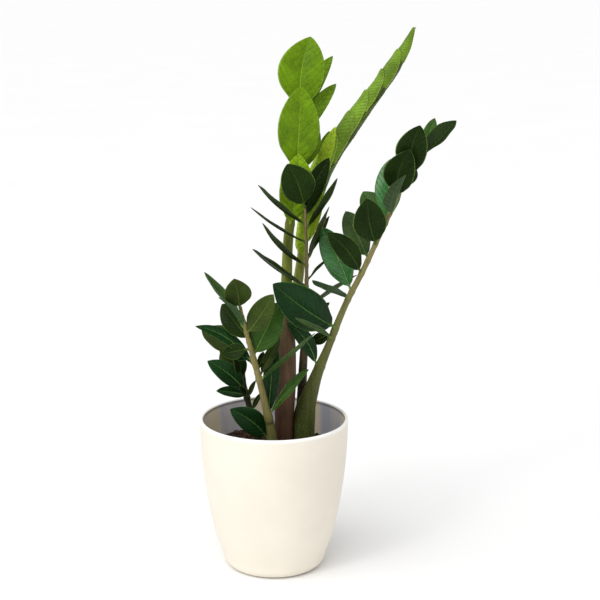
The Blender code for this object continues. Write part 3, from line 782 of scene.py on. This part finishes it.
def make_leaf(name, blade, path, material, veins, rng):
    """Fine leaflet on a blade: a short stalk, a grooved midrib, arching side veins, thin margins."""
    half_span = blade.halves.max()
    rows = max(26, int(blade.length / CELL))
    columns = max(7, int(half_span / CELL))
    t = 0.5 - 0.5 * np.cos(np.linspace(0.0, math.pi, rows + 1))
    t = 0.6 * np.linspace(0.0, 1.0, rows + 1) + 0.4 * t
    held = np.clip(t, 0.12, 0.88)
    middle = spline(blade.middle, t)
    right = unit(spline(blade.right - blade.middle, held))
    left = unit(spline(blade.left - blade.middle, held))
    ahead = unit(np.gradient(middle, axis=0))
    upward = unit(np.cross(unit(right - left), ahead))
    upward *= np.sign((upward * blade.upward).sum(axis=1))[:, None]
    half = blade.half_width(t)
    u, over = both_sides(2 * columns + 1)
    under = (over < 0.0).astype(float)
    reach = np.abs(u)
    wide = half[:, None]
    offset = reach * wide
    spacing = blade.length / VEIN_PAIRS
    phase = (t[:, None] * blade.length - 0.85 * offset - 0.4 * offset ** 2 / half_span) / spacing
    phase = phase + 0.4 * (u > 0.0) + rng.random()
    crown = 0.16 * wide * reach * (1.0 - reach)
    wave = rng.uniform(0.25, 0.6) * min(1.0, half_span / 16.0) * reach ** 3
    wave = wave * np.sin(math.tau * 2.1 * t[:, None] + rng.uniform(0.0, 6.0) + 1.3 * (u > 0.0))
    quilt = -veins * np.cos(math.tau * (phase - 0.5)) * np.sin(math.pi * np.minimum(reach, 1.0)) ** 0.5
    groove = -RIB_DEPTH * np.exp(-(offset / RIB_WIDTH) ** 2)
    thick = MARGIN_THICKNESS + (BLADE_THICKNESS - MARGIN_THICKNESS) * (1.0 - reach ** 3)
    thick = thick * (reach < 0.999)
    rib = RIB_HEIGHT * np.exp(-(offset / RIB_WIDTH) ** 2) * under * (1.0 - 0.7 * t[:, None])
    lift = crown + wave + quilt + groove * np.minimum(1.0, 3.0 * (1.0 - t[:, None]))
    lift = lift * np.minimum(1.0, 6.0 * (1.0 - t[:, None])) + 0.5 * over * thick - rib
    sides = np.where((u > 0.0)[None, :, None], right[:, None], left[:, None])
    rings = middle[:, None] + sides * offset[..., None] + upward[:, None] * lift[..., None]
    round_up = over * np.sqrt(np.maximum(0.0, 1.0 - u ** 2))
    cross = unit(right - left)
    bead = STALK_RADIUS * (0.75 + half_span / 60.0)
    rounded = cross[:, None] * u[:, None] + upward[:, None] * round_up[:, None]
    round_rings = middle[:, None] + bead * rounded
    share = np.clip(t / 0.075, 0.0, 1.0)
    share = (share * share * (3.0 - 2.0 * share))[:, None, None]
    rings = round_rings * (1.0 - share) + rings * share
    stalk = stalk_rings(path, middle[0], ahead[0], cross[0], upward[0], u, round_up, bead)
    rings = np.concatenate([stalk, rings])

    def padded(values, before=0.0):
        """Values on the blade, with one value all over the stalk."""
        blade_values = np.broadcast_to(values, (rows + 1, len(u)))
        return np.concatenate([np.full((len(stalk), len(u)), before), blade_values])

    attributes = {
        "vein": padded(phase), "rib": padded(offset), "margin": padded(reach),
        "stalk": padded(1.0 - share[..., 0], 1.0), "under": padded(under), "along": padded(t[:, None]),
        "light": np.full(rings.shape[:2], rng.uniform(0.88, 1.14))}
    return loft(name, rings, material, attributes)


def stalk_rings(path, base, ahead, cross, upward, u, round_up, bead):
    """Rings of the short stalk that comes out of the stem and turns into the leaflet's midrib."""
    run = max(0.0, path.nearest(base) - 4.0)
    centre, _, _ = path.at(run)
    bend = base - ahead * 0.45 * np.linalg.norm(base - centre)
    rings = []
    for t in np.linspace(0.0, 1.0, 7)[:-1]:
        place = (1 - t) ** 2 * centre + 2 * t * (1 - t) * bend + t * t * base
        slope = unit((1 - t) * (bend - centre) + t * (base - bend))
        side = unit(cross - slope * np.dot(cross, slope))
        top = unit(upward - slope * np.dot(upward, slope) - side * np.dot(upward, side))
        radius = bead * (1.25 - 0.25 * t)
        rings.append(place + radius * (side * u[:, None] + top * round_up[:, None]))
    return np.array(rings)


# ---------------------------------------------------------------- furled shoot

# Furled leaflets: rows and columns of each, side veins in it, share of the shell's radius and
# flare of the tip in millimetres, and the taper and the inner core of the shoot
ROLL_ROWS = 50
ROLL_COLUMNS = 41
ROLL_VEINS = 13.0
ROLL_THICKNESS = 0.55
FRONT_GIRTH = 0.98
FRONT_FLARE = 1.9
BEHIND_GIRTH = 0.87
SHELL_GIRTH = 1.06
TAPER_LENGTH = 60.0
TAPER_END = 6.0
CORE_SIDES = 28
CORE_GIRTH = 0.85


def furled_radius(path, names):
    """Outer radius of the furled leaflets along their stem, as distances and radii."""
    points = np.concatenate([node_points(name) for name in names])
    runs = np.array([path.nearest(point) for point in points[::2]])
    reach = np.linalg.norm(points[::2] - path.at(runs)[0], axis=1)
    places = np.linspace(runs.min(), runs.max(), 24)
    widest = [reach[np.abs(runs - place) < 9.0].max() for place in places]
    smoothed = np.convolve(np.pad(widest, 1, mode="edge"), (0.25, 0.5, 0.25), mode="valid")
    taper = np.sqrt(np.clip((places[-1] + TAPER_END - places) / TAPER_LENGTH, 0.0, 1.0))
    return places, smoothed * SHELL_GIRTH * taper


def make_core(path, shell, material):
    """Youngest leaflets, rolled tight inside the others: a tapering spindle."""
    runs = np.linspace(shell[0][0] + 12.0, shell[0][-1] + 1.5, 120)
    centres, ahead, _ = path.at(runs)
    side, front = ring_frames(centres, ahead)
    radii = np.interp(runs, *shell) * CORE_GIRTH
    radii = radii * np.minimum(1.0, np.sqrt((runs[-1] + 0.5 - runs) / 50.0))
    radii = radii * np.minimum(1.0, 0.35 + (runs - runs[0]) / 14.0)
    turns = np.arange(CORE_SIDES) / CORE_SIDES * math.tau
    spokes = side[:, None] * np.cos(turns)[:, None] + front[:, None] * np.sin(turns)[:, None]
    ones = np.ones((len(runs), CORE_SIDES))
    attributes = {
        "vein": runs[:, None] / 5.5 + np.abs(turns - math.pi) * 0.6,
        "rib": 9.0 * ones, "margin": 0.0 * ones,
        "under": 0.0 * ones, "along": 0.5 * ones, "stalk": 0.0 * ones, "light": 0.8 * ones}
    rings = centres[:, None] + spokes * radii[:, None, None]
    return loft("furled_core", rings, material, attributes)


def make_rolled_leaf(name, path, span, turn, shell, girth, flare, material, rng):
    """Young leaflet rolled round the shoot, its pointed tip bent a little away from it."""
    start, end = span
    t = np.linspace(0.0, 1.0, ROLL_ROWS)
    u, over = both_sides(ROLL_COLUMNS)
    under = (over < 0.0).astype(float)
    centres, ahead, core = path.at(start + t * (end - start))
    left = unit(np.stack([-ahead[:, 2], np.zeros(len(t)), ahead[:, 0]], axis=1))
    front = np.cross(ahead, left)
    length = end - start
    radius = np.interp(start + t * length, *shell) * (girth + 0.06 * t)
    radius = radius + flare * np.clip((t - 0.7) / 0.3, 0.0, 1.0) ** 2
    rise = np.clip(t / 0.14, 0.0, 1.0)
    rise = rise * rise * (3.0 - 2.0 * rise)
    radius = (core + 0.3) * (1.0 - rise) + radius * rise
    wrap = np.maximum(2.1 * (1.0 - t) ** 0.55 * (0.75 + 0.6 * t), 0.02)[:, None]
    offset = np.abs(u) * wrap * radius[:, None]
    phase = (t[:, None] * length - 0.9 * offset) / (length / ROLL_VEINS) + 0.4 * (u > 0.0) + rng.random()
    quilt = 0.22 * np.cos(math.tau * phase) * (1.0 - u ** 2)
    groove = -0.4 * np.exp(-(offset / 0.9) ** 2)
    curl = 0.9 * np.abs(u) ** 5 * np.minimum(1.0, 3.0 * (1.0 - t))[:, None]
    thick = ROLL_THICKNESS * (1.0 - 0.5 * np.abs(u) ** 3) * (np.abs(u) < 0.999)
    lift = radius[:, None] + quilt + groove + curl + 0.5 * over * thick
    angle = turn + u * wrap
    spokes = left[:, None] * np.cos(angle)[..., None] + front[:, None] * np.sin(angle)[..., None]
    rings = centres[:, None] + spokes * lift[..., None]
    ones = np.ones_like(phase)
    attributes = {
        "vein": phase, "rib": offset * ones, "margin": np.abs(u) * ones, "under": under * ones,
        "along": t[:, None] * ones, "stalk": 0.0 * ones, "light": rng.uniform(0.86, 1.12) * ones}
    return loft(name, rings, material, attributes)


def make_furled_shoot(path, looks, rng):
    """Spear of rolled leaflets: one over each CAD leaflet, and one behind each gap between them."""
    names = [node for node in NODES if node.startswith("furled_")]
    shell = furled_radius(path, names)
    make_core(path, shell, looks["furled"])
    spans = []
    for name in names:
        runs = [path.nearest(point) for point in node_points(name)]
        spans.append((min(runs), max(runs)))
    for number, (name, (start, end)) in enumerate(zip(names, spans)):
        tone = looks["lime" if number < 2 else "furled"]
        turn = math.radians(rng.uniform(14.0, 40.0) if number < len(names) - 1 else 60.0)
        leaf = make_rolled_leaf(
            "grown_" + name, path, (start, end), turn, shell, FRONT_GIRTH, FRONT_FLARE, tone, rng)
        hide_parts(name)
        if number + 1 < len(names):
            after = spans[number + 1]
            middle = 0.5 * (start + after[0]), 0.5 * (end + after[1])
            # The leaflets behind take the shaded tone: painted shade along the shoot's far side.
            turn = math.radians(196.0 + rng.uniform(-10.0, 20.0))
            make_rolled_leaf(
                "behind_" + name, path, middle, turn, shell, BEHIND_GIRTH, 0.0, looks["shaded"], rng)


# ---------------------------------------------------------------- plant

STEM_SCARS = {"stem_front": (167.0,)}

# Stems grown a little over their CAD ones: heights and shares of the radius
STEM_GIRTH = {
    "stem_upright": ((129.0, 165.0, 202.0, 240.0, 280.0, 310.0), (1.3, 1.3, 1.5, 1.45, 1.3, 1.55)),
    "stem_furled": ((129.0, 270.0, 310.0), (1.0, 1.0, 1.25)),
    "stem_right": ((129.0, 165.0, 185.0, 225.0, 260.0), (1.2, 1.15, 1.04, 1.0, 0.86)),
    "stem_middle": ((129.0, 235.0, 265.0, 310.0), (1.35, 1.3, 1.05, 0.75)),
    "stem_front": ((129.0, 150.0, 200.0), (1.12, 1.1, 1.05)),
}

# Stops of colour up each stem, its specks and how strong they are
STEM_LOOKS = {
    "stem_upright": (((0.0, (0.045, 0.022, 0.012)), (0.2, (0.12, 0.062, 0.034)),
                      (0.44, (0.13, 0.09, 0.038)), (0.52, (0.2, 0.24, 0.035)),
                      (1.0, (0.26, 0.36, 0.04))), (0.05, 0.03, 0.02), 0.4),
    "stem_furled": (((0.0, (0.1, 0.11, 0.03)), (0.4, (0.34, 0.38, 0.07)), (1.0, (0.44, 0.58, 0.06))),
                    (0.2, 0.25, 0.08), 0.3),
    # The near-black lower stops of stem_middle are painted shade, where it stands low among the other
    # stems.
    "stem_middle": (((0.0, (0.018, 0.015, 0.008)), (0.35, (0.045, 0.032, 0.016)),
                     (0.55, (0.18, 0.14, 0.06)), (1.0, (0.23, 0.19, 0.08))), (0.12, 0.10, 0.05), 0.4),
    "stem_right": (((0.0, (0.025, 0.042, 0.008)), (0.18, (0.075, 0.095, 0.018)),
                    (0.42, (0.15, 0.15, 0.042)), (0.62, (0.22, 0.195, 0.07)),
                    (1.0, (0.26, 0.18, 0.08))), (0.15, 0.18, 0.06), 0.45),
    "stem_front": (((0.0, (0.07, 0.085, 0.022)), (0.2, (0.12, 0.125, 0.036)), (0.5, (0.26, 0.225, 0.08)),
                    (1.0, (0.22, 0.18, 0.06))), (0.12, 0.10, 0.04), 0.45),
    "stem_back": (((0.0, (0.02, 0.025, 0.01)), (1.0, (0.035, 0.04, 0.012))), (0.02, 0.02, 0.01), 0.4),
}


def make_plant():
    """Stems, leaflets and the furled shoot."""
    rng = random.Random(5)
    paths = {node: Path(node) for node in NODES if node.startswith("stem_")}
    looks = {tone: leaf_material(tone) for tone in TONES}
    tones = {"leaf_" + leaf: tone for tone, leaves in TONE_OF_LEAF.items() for leaf in leaves.split()}
    joints = {node: [] for node in paths}
    for node in NODES:
        if node.startswith("leaf_"):
            stem = "stem_" + node.split("_")[1]
            tone = tones.get(node, "dark")
            blade = Blade.measured(node, paths[stem])
            leaf = make_leaf("grown_" + node, blade, paths[stem], looks[tone], VEIN_DEPTH, rng)
            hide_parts(node)
            joints[stem].append(paths[stem].nearest(blade.middle[0]) - 3.0)
    for number, (stem, height, offset, width, facing, tone) in enumerate(SMALL_LEAVES):
        path = paths[stem]
        run = np.interp(height, path.centres[:, 2], path.runs)
        centre, _, radius = path.at(run)
        base = centre + unit(offset) * (radius + 3.0)
        blade = Blade.drawn(base, centre + np.array(offset), width, facing)
        make_leaf("small_leaf_%02d" % (number + 1), blade, path, looks[tone], VEIN_DEPTH, rng)
        joints[stem].append(run)
    make_furled_shoot(paths["stem_furled"], looks, rng)
    for node, path in paths.items():
        make_stem(node, path, joints[node], stem_material("skin_" + node, *STEM_LOOKS[node]))


# ---------------------------------------------------------------- studio

WORLD_STRENGTH = 0.62
SUN_STRENGTH = 1.7
SUN_SPREAD = 60.0
SUN_TURN = (24.0, -18.0, 0.0)
KEY_PLACE = (-1.3, -1.5, 1.5)
KEY_WATTS = 9.0
KEY_COLOUR = (1.0, 0.985, 0.96)
KEY_SIZE = 0.5


def make_floor():
    """Plain pale floor that reaches past the horizon of the picture."""
    mesh = bpy.data.meshes.new("floor")
    corners = [(-1.0, -1.0), (1.0, -1.0), (1.0, 1.0), (-1.0, 1.0)]
    mesh.from_pydata([(x * FLOOR_REACH, y * FLOOR_REACH, 0.0) for x, y in corners], [], [(0, 1, 2, 3)])
    floor = bpy.data.objects.new("floor", mesh)
    bpy.context.scene.collection.objects.link(floor)
    n = Nodes("floor_paper")
    mesh.materials.append(n.finish(n.mix(n.noise(3.0, 2.0), (0.91, 0.91, 0.91), (0.94, 0.94, 0.94)), 0.85))


def add_lamp(name, place, aim, watts, colour, size):
    """Soft square lamp aimed at a point."""
    light = bpy.data.lights.new(name, "AREA")
    light.size = size
    light.energy = watts
    light.color = colour
    lamp = bpy.data.objects.new(name, light)
    bpy.context.scene.collection.objects.link(lamp)
    lamp.location = place
    lamp.rotation_euler = (Vector(aim) - Vector(place)).to_track_quat("-Z", "Y").to_euler()


def make_studio():
    """Floor, pale surroundings, a soft sun, a soft lamp and the camera."""
    make_floor()
    bpy.context.scene.view_settings.view_transform = "Standard"
    world = bpy.data.worlds.new("studio")
    bpy.context.scene.world = world
    world.use_nodes = True
    world.node_tree.nodes["Background"].inputs["Color"].default_value = (1.0, 1.0, 1.0, 1.0)
    world.node_tree.nodes["Background"].inputs["Strength"].default_value = WORLD_STRENGTH
    day = bpy.data.lights.new("overhead", "SUN")
    day.energy = SUN_STRENGTH
    day.angle = math.radians(SUN_SPREAD)
    overhead = bpy.data.objects.new("overhead", day)
    overhead.rotation_euler = [math.radians(turn) for turn in SUN_TURN]
    bpy.context.scene.collection.objects.link(overhead)
    middle = 0.5 * (np.array(CAD_BOX[0]) + np.array(CAD_BOX[1]))
    add_lamp("key", KEY_PLACE, middle, KEY_WATTS, KEY_COLOUR, KEY_SIZE)
    camera = bpy.data.cameras.new("camera")
    camera.lens = CAMERA_LENS
    eye = bpy.data.objects.new("camera", camera)
    eye.location = CAMERA_PLACE
    eye.rotation_euler = (math.radians(90.0 - CAMERA_DOWN), 0.0, 0.0)
    bpy.context.scene.collection.objects.link(eye)
    bpy.context.scene.camera = eye


make_soil(make_pot())
make_plant()
make_studio()
